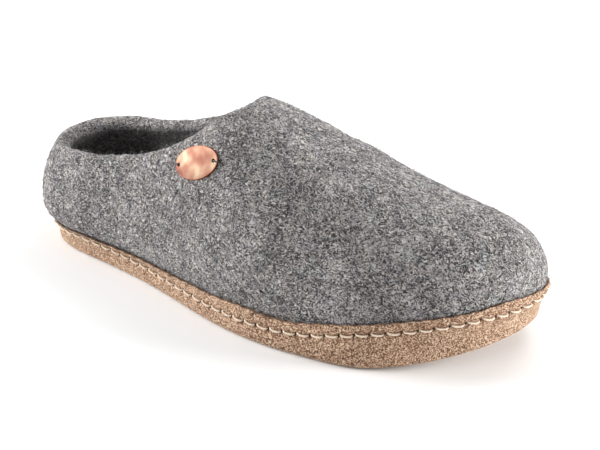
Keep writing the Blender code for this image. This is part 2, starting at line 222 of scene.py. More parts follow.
def makeCamera(sizes):
    turn = math.radians(sizes["azimuth"])
    rise = math.radians(sizes["elevation"])
    back = Vector((math.sin(turn) * math.cos(rise), -math.cos(turn) * math.cos(rise), math.sin(rise)))
    aim = Vector((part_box("sole")[0].x + sizes["aimAhead"], 0.0, sizes["aimHeight"]))
    data = bpy.data.cameras.new("camera")
    data.lens = sizes["lens"]
    data.sensor_width = sizes["sensor"]
    data.sensor_fit = "HORIZONTAL"
    data.shift_x, data.shift_y = sizes["shift"]
    data.clip_start = 10 * mm
    camera = linkObject("camera", data)
    camera.location = aim + back * sizes["distance"]
    turnTo(camera, back)
    scene.camera = camera


makeCamera(cameraSizes)
print("camera set")


# Seam: the line on which the stitches lie, from heel to toe on each side of the sole
seamSizes = {
    "pitch": 7.0 * mm,
    "spineEnds": (0.17, 0.80),     # shares of the sole's length
    "samples": 960,
    "perStitch": 16,               # points of the finished line
    "smoothing": 9,
    "guess": 50 * mm,              # first guess of the wall's distance from the spine
    "rayStart": 200 * mm,
}
seamTable = (
    # share of the sole's length, height of the seam on the outer and on the inner side in mm
    (0.000, 9.4, 9.4),
    (0.050, 10.1, 9.4),
    (0.097, 10.9, 9.8),
    (0.150, 11.4, 10.2),
    (0.280, 9.9, 9.5),
    (0.346, 9.1, 9.0),
    (0.417, 8.9, 8.8),
    (0.488, 9.0, 8.8),
    (0.561, 9.3, 9.0),
    (0.632, 9.9, 9.4),
    (0.702, 12.2, 10.2),
    (0.768, 16.6, 11.4),
    (0.833, 20.3, 14.1),
    (0.891, 23.2, 17.6),
    (0.938, 25.6, 21.3),
    (0.973, 27.3, 24.8),
    (1.000, 28.2, 28.2),
)


def alongSole(x, soleBox):
    return (x - soleBox[0].x) / (soleBox[1].x - soleBox[0].x)


def seamHeight(x, outer, soleBox):
    # outer is 1 on the outer side and 0 on the inner
    share = alongSole(x, soleBox)
    keys = [row[0] for row in seamTable]
    outerLevel = np.interp(share, keys, [row[1] for row in seamTable])
    innerLevel = np.interp(share, keys, [row[2] for row in seamTable])
    return (outerLevel * outer + innerLevel * (1 - outer)) * mm


def periodicSmooth(values, width):
    kernel = np.hanning(2 * width + 3)[1:-1]
    kernel = kernel / kernel.sum()
    wrapped = np.concatenate([values[-width:], values, values[:width]])
    return np.convolve(wrapped, kernel, mode="valid")


def findSeam(mesh, sizes):
    # Level rays from outside towards a spine along the sole's middle
    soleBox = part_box("sole")
    length = soleBox[1].x - soleBox[0].x
    surface = surfaceOf(mesh)
    ends = [soleBox[0].x + share * length for share in sizes["spineEnds"]]
    middle = 0.5 * (ends[0] + ends[1])
    half = 0.5 * (ends[1] - ends[0])
    found = []
    for turn in np.linspace(0, math.tau, sizes["samples"], endpoint=False):
        aim = Vector((math.cos(turn), math.sin(turn), 0))
        pivot = Vector((middle + half * math.cos(turn), 0.0, 0.0))
        outer = min(max(0.5 - 1.5 * math.sin(turn), 0.0), 1.0)
        spot = pivot + aim * sizes["guess"]
        for _ in range(4):
            level = float(seamHeight(spot.x, outer, soleBox))
            start = Vector((pivot.x, pivot.y, level)) + aim * sizes["rayStart"]
            spot = surface.ray_cast(start, -aim)[0]
        found.append(spot)
    found = np.array(found)
    found = np.stack([periodicSmooth(found[:, k], sizes["smoothing"]) for k in range(3)], 1)
    steps = np.linalg.norm(np.roll(found, -1, axis=0) - found, axis=1)
    total = steps.sum()
    run = np.concatenate([[0], np.cumsum(steps)])
    closed = np.vstack([found, found[:1]])
    count = int(round(total / sizes["pitch"]))
    marks = np.linspace(0, total, count * sizes["perStitch"], endpoint=False)
    line = np.stack([np.interp(marks, run, closed[:, k]) for k in range(3)], 1)
    print("seam", round(total, 4), "m,", count, "stitches")
    return line, count


# Suede cup sole
soleSizes = {
    "levels": 3,
    "grooveDepth": 0.45 * mm,
    "grooveWidth": 1.3 * mm,
    "dimpleDepth": 0.75 * mm,
    "dimpleRadius": 1.25 * mm,
    "puff": 0.38 * mm,             # the suede swells between two holes, above and below the thread
    "puffReach": 2.6 * mm,
    "flange": (0.6 * mm, 3.5 * mm),   # heights above the seam between which it grows free of the wall
    "waver": 0.55 * mm,            # the flange's edge wanders up and down
    "waverLength": 16 * mm,
    "lowered": 1.7 * mm,           # and lies lower along the outer forefoot
    "forefoot": (0.55, 0.66, 0.93, 0.98),   # shares of the length where that starts and ends
    "toeLean": 1.3 * mm,           # and leans onto the felt at the toe
    "toeStart": 0.90,
    "lumps": 0.22 * mm,
    "lumpSizes": (9 * mm, 4 * mm),
    "block": 4000,                 # points that are measured at one time
}


def dressSole(sizes, seam, count):
    mesh = fineCopy("sole", sizes["levels"])
    points = pointsOf(mesh)
    normals = normalsOf(mesh)
    u = np.empty(len(points))      # stitches along the seam
    v = np.empty(len(points))      # metres above it
    facing = np.empty(len(points))
    out = np.empty((len(points), 3))
    ahead = unit(np.roll(seam, -1, axis=0) - np.roll(seam, 1, axis=0))
    outward = unit(np.cross(ahead, [0, 0, 1]))
    for start in range(0, len(points), sizes["block"]):
        rows = slice(start, start + sizes["block"])
        block = points[rows]
        near = ((block[:, None, :2] - seam[None, :, :2]) ** 2).sum(axis=2).argmin(axis=1)
        away = block - seam[near]
        along = (away[:, :2] * ahead[near][:, :2]).sum(axis=1)
        u[rows] = near / seamSizes["perStitch"] + along / seamSizes["pitch"]
        v[rows] = away[:, 2]
        out[rows] = outward[near]
        facing[rows] = (normals[rows] * outward[near]).sum(axis=1)
    outside = smoothStep(0.0, 0.5, facing)
    phase = (u + 0.5) % 1.0 - 0.5
    wave = np.cos(math.tau * phase)
    dimple = np.exp(-(np.hypot(phase * seamSizes["pitch"], v) / sizes["dimpleRadius"]) ** 2)
    groove = np.exp(-(v / sizes["grooveWidth"]) ** 2)
    puff = np.exp(-((np.abs(v) - sizes["puffReach"]) / sizes["puffReach"]) ** 2) * wave
    coarse, fine = sizes["lumpSizes"]
    rough = lumps(points, coarse, 1) * 0.6 + lumps(points, fine, 2) * 0.4
    move = -sizes["grooveDepth"] * groove - sizes["dimpleDepth"] * dimple - 0.5 * sizes["puff"] * puff
    wall = smoothStep(0.5 * mm, 3 * mm, points[:, 2])
    points = points + normals * ((move + sizes["lumps"] * rough * wall) * outside)[:, None]
    waver = sizes["waver"] * (lumps(points * [1, 1, 0], sizes["waverLength"], 5) - 0.35 * wave)
    share = alongSole(points[:, 0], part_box("sole"))
    begin, full, fade, end = sizes["forefoot"]
    forefoot = smoothStep(begin, full, share) * (1 - smoothStep(fade, end, share)) * smoothStep(0.0, 0.5,
            -out[:, 1])
    points[:, 2] += smoothStep(*sizes["flange"], v) * (waver - sizes["lowered"] * forefoot)
    lean = sizes["toeLean"] * smoothStep(sizes["toeStart"], 1.0, share) * smoothStep(0.0, 4.5 * mm, v)
    setPoints(mesh, points - out * lean[:, None])
    corners = cornersOf(mesh)
    cornerU = u[corners]
    starts = np.empty(len(mesh.polygons), np.int64)
    mesh.polygons.foreach_get("loop_start", starts)
    first = np.repeat(cornerU[starts], np.diff(np.append(starts, len(corners))))
    cornerU = cornerU + np.round((first - cornerU) / count) * count
    addMap(mesh, "seam", np.stack([cornerU, v[corners] / mm], 1))
    # Mask of the flange's cut top edge and inner face: the cut edge's own darker colour plus painted shade
    # where the flange meets the felt
    addValues(mesh, "cut", smoothStep(1.5 * mm, 2.5 * mm, v) * (1 - smoothStep(0.15, 0.75, facing)))
    return mesh


suedeLook = {
    # Each pattern's size in mm, detail and weight. The nap is finer than a pixel and is drawn at 0.6 mm
    "patterns": ((0.60, 1.0, 1.45), (1.5, 2.0, 0.50), (9.0, 3.0, 0.15)),
    "shift": -0.545,
    "tones": ((0.34, "#5A4336"), (0.43, "#80614B"), (0.51, "#9E7A60"), (0.59, "#BA987C"), (0.68, "#D8BFA8")),
    "holeSize": (1.5, 0.95),       # half length and half width in mm of the painted shade in each hole
    "holeTurn": -0.9,
    # painted shade along the seam's groove
    "grooveShade": "#7A573A",
    # painted shade in the stitch holes
    "hole": "#462F20",
    # the cut edge's own darker colour, and painted shade where the flange meets the felt
    "cutEdgeAndShade": "#6A4A36",
    "sheen": "#F2DCC0",
}


def suedeMaterial(look):
    # Cow suede split, brushed: matt, tan, speckled by its nap, darker on its cut edge; painted shade along
    # the seam's groove, in the stitch holes and where the flange meets the felt
    material, tree, shader = newMaterial("tan suede split, brushed")
    place = inMillimetres(tree)
    part = look["shift"]
    for size, detail, weight in look["patterns"]:
        grain = addNode(tree, "ShaderNodeTexNoise", {
            "Vector": place, "Scale": 1 / size, "Detail": detail, "Roughness": 0.6})
        part = addNode(tree, "ShaderNodeMath", {
            0: grain.outputs["Fac"], 1: weight, 2: part}, operation="MULTIPLY_ADD")
    tone = fillRamp(addNode(tree, "ShaderNodeValToRGB", {"Fac": part}), look["tones"])
    seam = addNode(tree, "ShaderNodeUVMap", uv_map="seam")
    split = addNode(tree, "ShaderNodeSeparateXYZ", {0: seam})
    cycle = split.outputs["X"]     # millimetres from the nearest hole
    for action, value in (("ADD", 0.5), ("FRACT", 0.0), ("SUBTRACT", 0.5),
            ("MULTIPLY", seamSizes["pitch"] / mm)):
        cycle = addNode(tree, "ShaderNodeMath", {0: cycle, 1: value}, operation=action)
    slit = addNode(tree, "ShaderNodeCombineXYZ", {"X": cycle, "Y": split.outputs["Y"]})
    slit = addNode(tree, "ShaderNodeVectorRotate", {
        "Vector": slit, "Angle": look["holeTurn"]}, rotation_type="Z_AXIS")
    slit = addNode(tree, "ShaderNodeVectorMath", {
        0: slit, 1: (1 / look["holeSize"][0], 1 / look["holeSize"][1], 0.0)}, operation="MULTIPLY")
    reach = addNode(tree, "ShaderNodeVectorMath", {0: slit}, operation="LENGTH")
    hole = addNode(tree, "ShaderNodeMapRange", {
        "Value": reach.outputs["Value"], "From Min": 0.6, "From Max": 1.1, "To Min": 1.0, "To Max": 0.0},
        interpolation_type="SMOOTHSTEP")
    # Painted shade along the seam's groove and in each stitch hole; the cut mask adds the cut edge's own
    # darker colour and painted shade where the flange meets the felt
    grooveShade = addNode(tree, "ShaderNodeMath", {0: split.outputs["Y"]}, operation="ABSOLUTE")
    grooveShade = addNode(tree, "ShaderNodeMapRange", {
        "Value": grooveShade, "From Min": 0.2, "From Max": 1.1, "To Min": 0.35, "To Max": 0.0},
        interpolation_type="SMOOTHSTEP")
    cut = addNode(tree, "ShaderNodeAttribute", attribute_name="cut")
    for amount, colour in ((grooveShade, "grooveShade"), (hole, "hole"), (cut.outputs["Fac"], "cutEdgeAndShade")):
        mix = addNode(tree, "ShaderNodeMix", {
            0: amount, 6: tone, 7: colourOf(look[colour])}, data_type="RGBA")
        tone = mix.outputs[2]
    relief = addNode(tree, "ShaderNodeBump", {"Strength": 0.8, "Distance": 0.30 * mm, "Height": part})
    setInputs(tree, shader, {
        "Base Color": tone, "Roughness": 0.92, "Specular IOR Level": 0.2, "Sheen Weight": 0.25,
        "Sheen Roughness": 0.5, "Sheen Tint": colourOf(look["sheen"]), "Normal": relief})
    return material


# Felt upper: listed soft troughs, then the lumps that felting leaves
feltSizes = {
    "levels": 2,
    "spineHeight": 30 * mm,
    "clearance": 0.25 * mm,        # drawn in where the sole's flange wraps round it
    "free": (14 * mm, 26 * mm),    # heights between which it comes clear of the sole
    "creviceShade": (0.3 * mm, 1.0 * mm),   # the painted shade where it meets the flange fades between these gaps
    "creviceTop": 40 * mm,         # no flange reaches this height
    "peakDrop": 1.3 * mm,          # the throat's highest point is felted round
    "peakReach": 11 * mm,
    "ridge": 0.45,                 # the felt swells beside a trough by this share of its depth
    "ridgeReach": 2.2,             # over this many of its half widths
    "lumpSizes": (26 * mm, 11 * mm, 5 * mm),
    "lumpHeights": (0.55 * mm, 0.42 * mm, 0.24 * mm),
    "napStart": (13 * mm, 17 * mm),
    "innerNap": 0.25,              # inside, above the footbed, the loose fibres are fewer
    "innerNapStart": (35 * mm, 45 * mm),
}
troughTable = (
    # middle x, y, z and the direction that it runs in, half length, half width and depth in mm
    ("throat outer", (12, -36, 70), (0.80, 0.10, -0.55), 26, 9, 1.1),
    ("under the tag", (-22, -44, 50), (0.95, 0.05, -0.30), 32, 9, 0.7),
    ("throat inner", (8, 36, 66), (0.80, 0.00, -0.60), 26, 9, 1.0),
    ("toe break", (52, -2, 74), (0.15, 0.98, -0.10), 34, 7, 0.8),
    ("toe break fore", (74, -8, 62), (0.25, 0.95, -0.18), 28, 6, 0.6),
    ("heel outer", (-104, -34, 38), (0.45, -0.40, 0.80), 16, 7, 0.7),
    ("heel inner", (-104, 32, 38), (0.45, 0.40, 0.80), 16, 7, 0.7),
    ("waist inner", (-10, 38, 36), (0.98, 0.05, 0.10), 36, 10, 0.9),
    ("ball outer", (60, -46, 34), (0.90, 0.10, -0.30), 24, 8, 0.5),
)


def dressFelt(sizes):
    mesh = fineCopy("upper", sizes["levels"])
    points = pointsOf(mesh)
    normals = normalsOf(mesh)
    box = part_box("upper")
    length = box[1].x - box[0].x
    heelEnd, toeEnd = [box[0].x + share * length for share in seamSizes["spineEnds"]]
    spineX = np.clip(points[:, 0], heelEnd, toeEnd)
    spine = np.stack([spineX, np.zeros(len(points)), np.full(len(points), sizes["spineHeight"])], 1)
    outside = smoothStep(-0.1, 0.3, (normals * unit(points - spine)).sum(axis=1))
    move = np.zeros(len(points))
    for _, middle, aim, halfLength, halfWidth, depth in troughTable:
        aim = np.array(aim) / np.linalg.norm(aim)
        gap = points - np.array(middle) * mm
        along = gap @ aim
        across = np.linalg.norm(gap - along[:, None] * aim, axis=1)
        share = (along / (halfLength * mm)) ** 2 + (across / (halfWidth * mm)) ** 2
        ridge = (along / (halfLength * mm)) ** 2 + (across / (sizes["ridgeReach"] * halfWidth * mm)) ** 2
        move += depth * mm * (sizes["ridge"] * np.exp(-ridge) - np.exp(-share))
    for seed, (size, height) in enumerate(zip(sizes["lumpSizes"], sizes["lumpHeights"])):
        move += height * lumps(points, size, seed + 11)
    free = smoothStep(*sizes["free"], points[:, 2])
    points = points + normals * (move * free - sizes["clearance"] * outside * (1 - free))[:, None]
    peak = points[points[:, 2].argmax()]
    points[:, 2] -= sizes["peakDrop"] * np.exp(-((points - peak) ** 2).sum(axis=1) / sizes["peakReach"] ** 2)
    setPoints(mesh, points)
    addValues(mesh, "outside", outside)
    # Painted shade mask: the felt is darkened within a millimetre of the sole's flange
    seat = surfaceOf(soleMesh)
    low = points[:, 2] < sizes["creviceTop"]
    gaps = np.array([seat.find_nearest(point)[3] if near else 1.0 for point, near in zip(points, low)])
    addValues(mesh, "creviceShade", outside * (1 - smoothStep(*sizes["creviceShade"], gaps)))
    inner = sizes["innerNap"] * (1 - outside) * smoothStep(*sizes["innerNapStart"], points[:, 2])
    addValues(mesh, "nap", outside * smoothStep(*sizes["napStart"], points[:, 2]) + inner)
    return mesh


feltLook = {
    # Sizes in mm. Real fibres are finer than a pixel, so they are drawn 0.52 mm wide
    "curl": 2.6,
    "bend": 4.0,
    "fibre": (1.8, 0.52),
    "paleFibres": ((0.3, 0.2, 0.4), (0.9, 1.3, 1.2), (1.7, 0.5, 2.3)),
    "deepFibres": ((2.5, 2.1, 0.8), (0.6, 2.7, 2.9), (1.2, 0.1, 1.8)),
    "speck": 0.62,
    "cloud": 5.0,
    "blotch": 15.0,
    "dye": 9.0,
    "weights": (1.90, 0.62, 0.30, 0.72),   # of fibres, specks, clouds and blotches
    "shift": -2.225,
    "tints": ((0.36, "#F8F4FA"), (0.48, "#FFFCFC"), (0.56, "#FFFAF6"), (0.66, "#F6FAFC")),
    # painted shade where the felt meets the flange
    "creviceShade": "#2A2624",
    # painted shade on the upper's inner face and on the footbed
    "insideShade": "#2E2C2D",
    "sheen": "#DEDADA",
}


def feltMaterial(name, look, stops, seed):
    # Wet-felted wool, grey melange: matt, with curled fibres that cross at every angle, and painted shade
    # where it meets the flange and on its inner face
    material, tree, shader = newMaterial(name)
    place = addNode(tree, "ShaderNodeVectorMath", {
        0: inMillimetres(tree), 1: (seed * 31.0, seed * 17.0, 0.0)}, operation="ADD")
    curl = addNode(tree, "ShaderNodeTexNoise", {"Vector": place, "Scale": 1 / look["curl"], "Detail": 1.0})
    curl = addNode(tree, "ShaderNodeVectorMath", {
        0: curl.outputs["Color"], 1: (0.5, 0.5, 0.5)}, operation="SUBTRACT")
    bent = addNode(tree, "ShaderNodeVectorMath", {
        0: curl, 1: (look["bend"],) * 3, 2: place}, operation="MULTIPLY_ADD")
    long, wide = look["fibre"]
    tangle = None                  # palest of three fibres plus darkest of three more
    for turns, action in ((look["paleFibres"], "MAXIMUM"), (look["deepFibres"], "MINIMUM")):
        chosen = None
        for turn in turns:
            lie = addNode(tree, "ShaderNodeMapping", {
                "Vector": bent, "Rotation": turn, "Scale": (1 / long, 1 / wide, 1 / wide)})
            fibre = addNode(tree, "ShaderNodeTexNoise", {
                "Vector": lie, "Scale": 1.0, "Detail": 0.0}).outputs["Fac"]
            chosen = addNode(tree, "ShaderNodeMath", {
                0: chosen, 1: fibre}, operation=action) if chosen else fibre
        tangle = addNode(tree, "ShaderNodeMath", {
            0: tangle, 1: chosen}, operation="ADD") if tangle else chosen
    speck = addNode(tree, "ShaderNodeTexVoronoi", {"Vector": bent, "Scale": 1 / look["speck"]})
    speck = addNode(tree, "ShaderNodeSeparateColor", {0: speck.outputs["Color"]})
    cloud = addNode(tree, "ShaderNodeTexNoise", {
        "Vector": place, "Scale": 1 / look["cloud"], "Detail": 3.0, "Roughness": 0.6})
    blotch = addNode(tree, "ShaderNodeTexNoise", {
        "Vector": place, "Scale": 1 / look["blotch"], "Detail": 2.0, "Roughness": 0.5, "Distortion": 0.4})
    part = look["shift"]
    for pattern, weight in zip((tangle, speck, cloud.outputs["Fac"], blotch.outputs["Fac"]),
            look["weights"]):
        part = addNode(tree, "ShaderNodeMath", {0: pattern, 1: weight, 2: part}, operation="MULTIPLY_ADD")
    tone = fillRamp(addNode(tree, "ShaderNodeValToRGB", {"Fac": part}), stops)
    dye = addNode(tree, "ShaderNodeTexNoise", {"Vector": place, "Scale": 1 / look["dye"], "Detail": 1.0})
    tint = fillRamp(addNode(tree, "ShaderNodeValToRGB", {"Fac": dye.outputs["Fac"]}), look["tints"])
    tone = addNode(tree, "ShaderNodeMix", {
        0: 1.0, 6: tone, 7: tint}, data_type="RGBA", blend_type="MULTIPLY")
    # Painted shade where the felt meets the sole's flange
    creviceShade = addNode(tree, "ShaderNodeAttribute", attribute_name="creviceShade")
    outside = addNode(tree, "ShaderNodeAttribute", attribute_name="outside")
    # Painted shade, half strength, on the upper's inner face and on the footbed, whose mesh has no outside
    # attribute
    insideShade = addNode(tree, "ShaderNodeMapRange", {
        "Value": outside.outputs["Fac"], "To Min": 0.5, "To Max": 0.0})
    for amount, colour in ((creviceShade.outputs["Fac"], "creviceShade"), (insideShade, "insideShade")):
        tone = addNode(tree, "ShaderNodeMix", {
            0: amount, 6: tone.outputs[2], 7: colourOf(look[colour])}, data_type="RGBA")
    relief = addNode(tree, "ShaderNodeBump", {"Strength": 0.8, "Distance": 0.5 * mm, "Height": part})
    setInputs(tree, shader, {
        "Base Color": tone.outputs[2], "Roughness": 0.95, "Specular IOR Level": 0.15, "Sheen Weight": 0.3,
        "Sheen Roughness": 0.6, "Sheen Tint": colourOf(look["sheen"]), "Normal": relief})
    return material


# Loose fibres on the felt. Their radii are larger than real ones, which would be finer than a pixel
fibreSizes = {
    "charcoal kemp": {
        "count": 4200, "length": (1.4 * mm, 4.0 * mm), "radius": 0.090 * mm, "lift": 0.20 * mm,
        "curl": 1.8 * mm, "seed": 3, "tones": ("#3C393C", "#211F21")},
    "grey wool": {
        "count": 5000, "length": (3.0 * mm, 8.0 * mm), "radius": 0.070 * mm, "lift": 0.40 * mm,
        "curl": 3.2 * mm, "seed": 5, "tones": ("#928F8F", "#6C6A6B")},
    "white kemp": {
        "count": 6900, "length": (1.8 * mm, 5.0 * mm), "radius": 0.085 * mm, "lift": 0.36 * mm,
        "curl": 3.0 * mm, "seed": 8, "tones": ("#D7D3D3", "#B5B1B2")},
    "long pale hair": {
        "count": 60, "length": (5.0 * mm, 11.0 * mm), "radius": 0.075 * mm, "lift": 0.80 * mm,
        "curl": 1.6 * mm, "seed": 13, "tones": ("#DEDDDA", "#C7C3C0")},
    "wool down": {
        "count": 8000, "length": (1.1 * mm, 2.8 * mm), "radius": 0.050 * mm, "lean": 1.0,
        "curl": 0.9 * mm, "seed": 17, "tones": ("#ABA7A7", "#7A7778")},
}
fibreWaves = {
    "curl": 3.2 * mm,              # length of the bends in a fibre that lies on the felt
    "lift": 1.9 * mm,              # and of its rise and fall
    "down": 0.9 * mm,              # and of the bends in one that stands
}


def newTree(name, sizes):
    # A size without a value takes a material
    kinds = {float: "NodeSocketFloat", int: "NodeSocketInt", type(None): "NodeSocketMaterial"}
    tree = bpy.data.node_groups.new(name, "GeometryNodeTree")
    tree.interface.new_socket("Geometry", in_out="INPUT", socket_type="NodeSocketGeometry")
    for label, value in sizes.items():
        socket = tree.interface.new_socket(label, in_out="INPUT", socket_type=kinds[type(value)])
        if value is not None:
            socket.default_value = value
    tree.interface.new_socket("Geometry", in_out="OUTPUT", socket_type="NodeSocketGeometry")
    return tree, addNode(tree, "NodeGroupInput").outputs


def finishTree(tree, solid, material):
    solid = addNode(tree, "GeometryNodeRealizeInstances", {"Geometry": solid})
    solid = addNode(tree, "GeometryNodeSetMaterial", {"Geometry": solid, "Material": material})
    addNode(tree, "NodeGroupOutput", {0: solid})
    return tree


def runTree(tree, hostMesh, values, name):
    host = linkObject(name + " host", hostMesh)
    modifier = host.modifiers.new(tree.name, "NODES")
    modifier.node_group = tree
    for item in tree.interface.items_tree:
        if item.in_out == "INPUT" and item.name in values:
            modifier[item.identifier] = values[item.name]
    mesh = evaluatedMesh(host, name)
    host.modifiers.remove(modifier)
    bpy.data.objects.remove(host)
    return mesh


def fibreRoots(name, special):
    # special names the one size that the lying and the standing fibres don't share
    tree, size = newTree(name, {
        "Density": 1000.0, "Shortest": 1 * mm, "Longest": 8 * mm, "Radius": 0.05 * mm, special: 1.0,
        "Curl": 2 * mm, "Seed": 1, "Wool": None})
    nap = addNode(tree, "GeometryNodeInputNamedAttribute", {"Name": "nap"}, data_type="FLOAT")
    density = addNode(tree, "ShaderNodeMath", {0: nap, 1: size["Density"]}, operation="MULTIPLY")
    roots = addNode(tree, "GeometryNodeDistributePointsOnFaces", {
        "Mesh": size["Geometry"], "Density": density, "Seed": size["Seed"]})
    return tree, size, roots


def layFibres(tree, size, roots, turn, seed, ends, count):
    # Straight fibres of random length on their roots
    lie = addNode(tree, "FunctionNodeRotateRotation", {
        0: roots.outputs["Rotation"], 1: turn}, rotation_space="LOCAL")
    length = addNode(tree, "FunctionNodeRandomValue", {
        2: size["Shortest"], 3: size["Longest"], "Seed": seed}, data_type="FLOAT")
    strand = addNode(tree, "GeometryNodeCurvePrimitiveLine", {"Start": ends[0], "End": ends[1]})
    strand = addNode(tree, "GeometryNodeResampleCurve", {"Curve": strand, "Count": count})
    laid = addNode(tree, "GeometryNodeInstanceOnPoints", {
        "Points": roots, "Instance": strand, "Rotation": lie, "Scale": length.outputs[1]})
    return addNode(tree, "GeometryNodeRealizeInstances", {"Geometry": laid})


def curlFibres(tree, laid, wave, detail, reach):
    where = addNode(tree, "GeometryNodeInputPosition")
    field = addNode(tree, "ShaderNodeTexNoise", {"Vector": where, "Scale": 1 / wave, "Detail": detail})
    field = addNode(tree, "ShaderNodeVectorMath", {
        0: field.outputs["Color"], 1: (0.5, 0.5, 0.5)}, operation="SUBTRACT")
    field = addNode(tree, "ShaderNodeVectorMath", {0: field, "Scale": reach}, operation="SCALE")
    return addNode(tree, "GeometryNodeSetPosition", {"Geometry": laid, "Offset": field})


def thickenFibres(tree, size, strands):
    ring = addNode(tree, "GeometryNodeCurvePrimitiveCircle", {
        "Resolution": 3, "Radius": size["Radius"]}, mode="RADIUS")
    solid = addNode(tree, "GeometryNodeCurveToMesh", {
        "Curve": strands, "Profile Curve": ring, "Fill Caps": True})
    return finishTree(tree, solid, size["Wool"])


def lyingTree(waves):
    # Fibres that lie on the felt, curled, and rise off it here and there
    tree, size, roots = fibreRoots("lying fibres", "Lift")
    spin = addNode(tree, "FunctionNodeRandomValue", {
        2: 0.0, 3: math.tau, "Seed": size["Seed"]}, data_type="FLOAT")
    spin = addNode(tree, "FunctionNodeAxisAngleToRotation", {
        "Axis": (0.0, 0.0, 1.0), "Angle": spin.outputs[1]})
    laid = layFibres(tree, size, roots, spin, 21, ((-0.5, 0.0, 0.0), (0.5, 0.0, 0.0)), 5)
    curled = curlFibres(tree, laid, waves["curl"], 1.0, size["Curl"])
    seat = addNode(tree, "GeometryNodeProximity", {0: size["Geometry"]}, target_element="FACES")
    facing = addNode(tree, "GeometryNodeInputNormal")
    normal = addNode(tree, "GeometryNodeSampleNearestSurface", {
        "Mesh": size["Geometry"], "Value": facing}, data_type="FLOAT_VECTOR")
    where = addNode(tree, "GeometryNodeInputPosition")
    height = addNode(tree, "ShaderNodeTexNoise", {
        "Vector": where, "Scale": 1 / waves["lift"], "Detail": 1.0})
    height = addNode(tree, "ShaderNodeMapRange", {
        "Value": height.outputs["Fac"], "From Min": 0.38, "From Max": 0.72, "To Min": 0.0, "To Max": 1.0})
    height = addNode(tree, "ShaderNodeMath", {0: height, 1: size["Lift"]}, operation="MULTIPLY")
    lifted = addNode(tree, "ShaderNodeVectorMath", {0: normal, "Scale": height}, operation="SCALE")
    seated = addNode(tree, "ShaderNodeVectorMath", {0: seat.outputs["Position"], 1: lifted}, operation="ADD")
    seated = addNode(tree, "GeometryNodeSetPosition", {"Geometry": curled, "Position": seated})
    return thickenFibres(tree, size, seated)


def standingTree(waves):
    # Short hairs that stand off the felt and make its outline soft
    tree, size, roots = fibreRoots("standing down", "Lean")
    back = addNode(tree, "ShaderNodeMath", {0: size["Lean"], 1: -1.0}, operation="MULTIPLY")
    least = addNode(tree, "ShaderNodeCombineXYZ", {"X": back, "Y": back, "Z": 0.0})
    most = addNode(tree, "ShaderNodeCombineXYZ", {"X": size["Lean"], "Y": size["Lean"], "Z": math.tau})
    lean = addNode(tree, "FunctionNodeRandomValue", {
        0: least, 1: most, "Seed": size["Seed"]}, data_type="FLOAT_VECTOR")
    lean = addNode(tree, "FunctionNodeEulerToRotation", {0: lean})
    laid = layFibres(tree, size, roots, lean, 22, ((0.0, 0.0, -0.1), (0.0, 0.0, 1.0)), 3)
    share = addNode(tree, "GeometryNodeSplineParameter")
    reach = addNode(tree, "ShaderNodeMath", {
        0: share.outputs["Factor"], 1: size["Curl"]}, operation="MULTIPLY")
    return thickenFibres(tree, size, curlFibres(tree, laid, waves["down"], 0.0, reach))


def woolMaterial(name, code, darker):
    # Single wool fibres: matt, each a little lighter or darker than the next
    material, tree, shader = newMaterial(name)
    vary = addNode(tree, "ShaderNodeTexNoise", {
        "Vector": inMillimetres(tree), "Scale": 1 / 4.0, "Detail": 1.0})
    vary = vary.outputs["Fac"]
    tone = fillRamp(addNode(tree, "ShaderNodeValToRGB", {"Fac": vary}), ((0.35, darker), (0.65, code)))
    relief = addNode(tree, "ShaderNodeBump", {"Strength": 0.2, "Distance": 0.02 * mm, "Height": vary})
    setInputs(tree, shader, {
        "Base Color": tone, "Roughness": 0.7, "Specular IOR Level": 0.3, "Normal": relief})
    return material


def growFibres(kind, sizes, tree, napArea):
    wool = woolMaterial(kind, *sizes["tones"])
    mesh = runTree(tree, feltMesh, {
        "Density": sizes["count"] / napArea, "Shortest": sizes["length"][0], "Longest": sizes["length"][1],
        "Radius": sizes["radius"], "Lift": sizes.get("lift"), "Lean": sizes.get("lean"),
        "Curl": sizes["curl"], "Seed": sizes["seed"], "Wool": wool}, kind)
    linkPiece(kind.replace(" ", "_"), mesh, wool, "felt")
    print(kind, len(mesh.polygons), "faces")


# Stitches: twisted cream thread between neighbouring holes
stitchSizes = {
    "threadRadius": 0.31 * mm,
    "plyOffset": 0.24 * mm,
    "gap": 1.5 * mm,               # between two stitches at a hole
    "rise": 0.42 * mm,
    "dip": 1.0 * mm,               # each end goes down into its hole
    "sag": 0.40 * mm,
    "slant": 0.45 * mm,            # its heel end lies higher than its toe end
    "turns": 3.5,
    "tones": ("#FBEBDA", "#DCC5AA"),
}


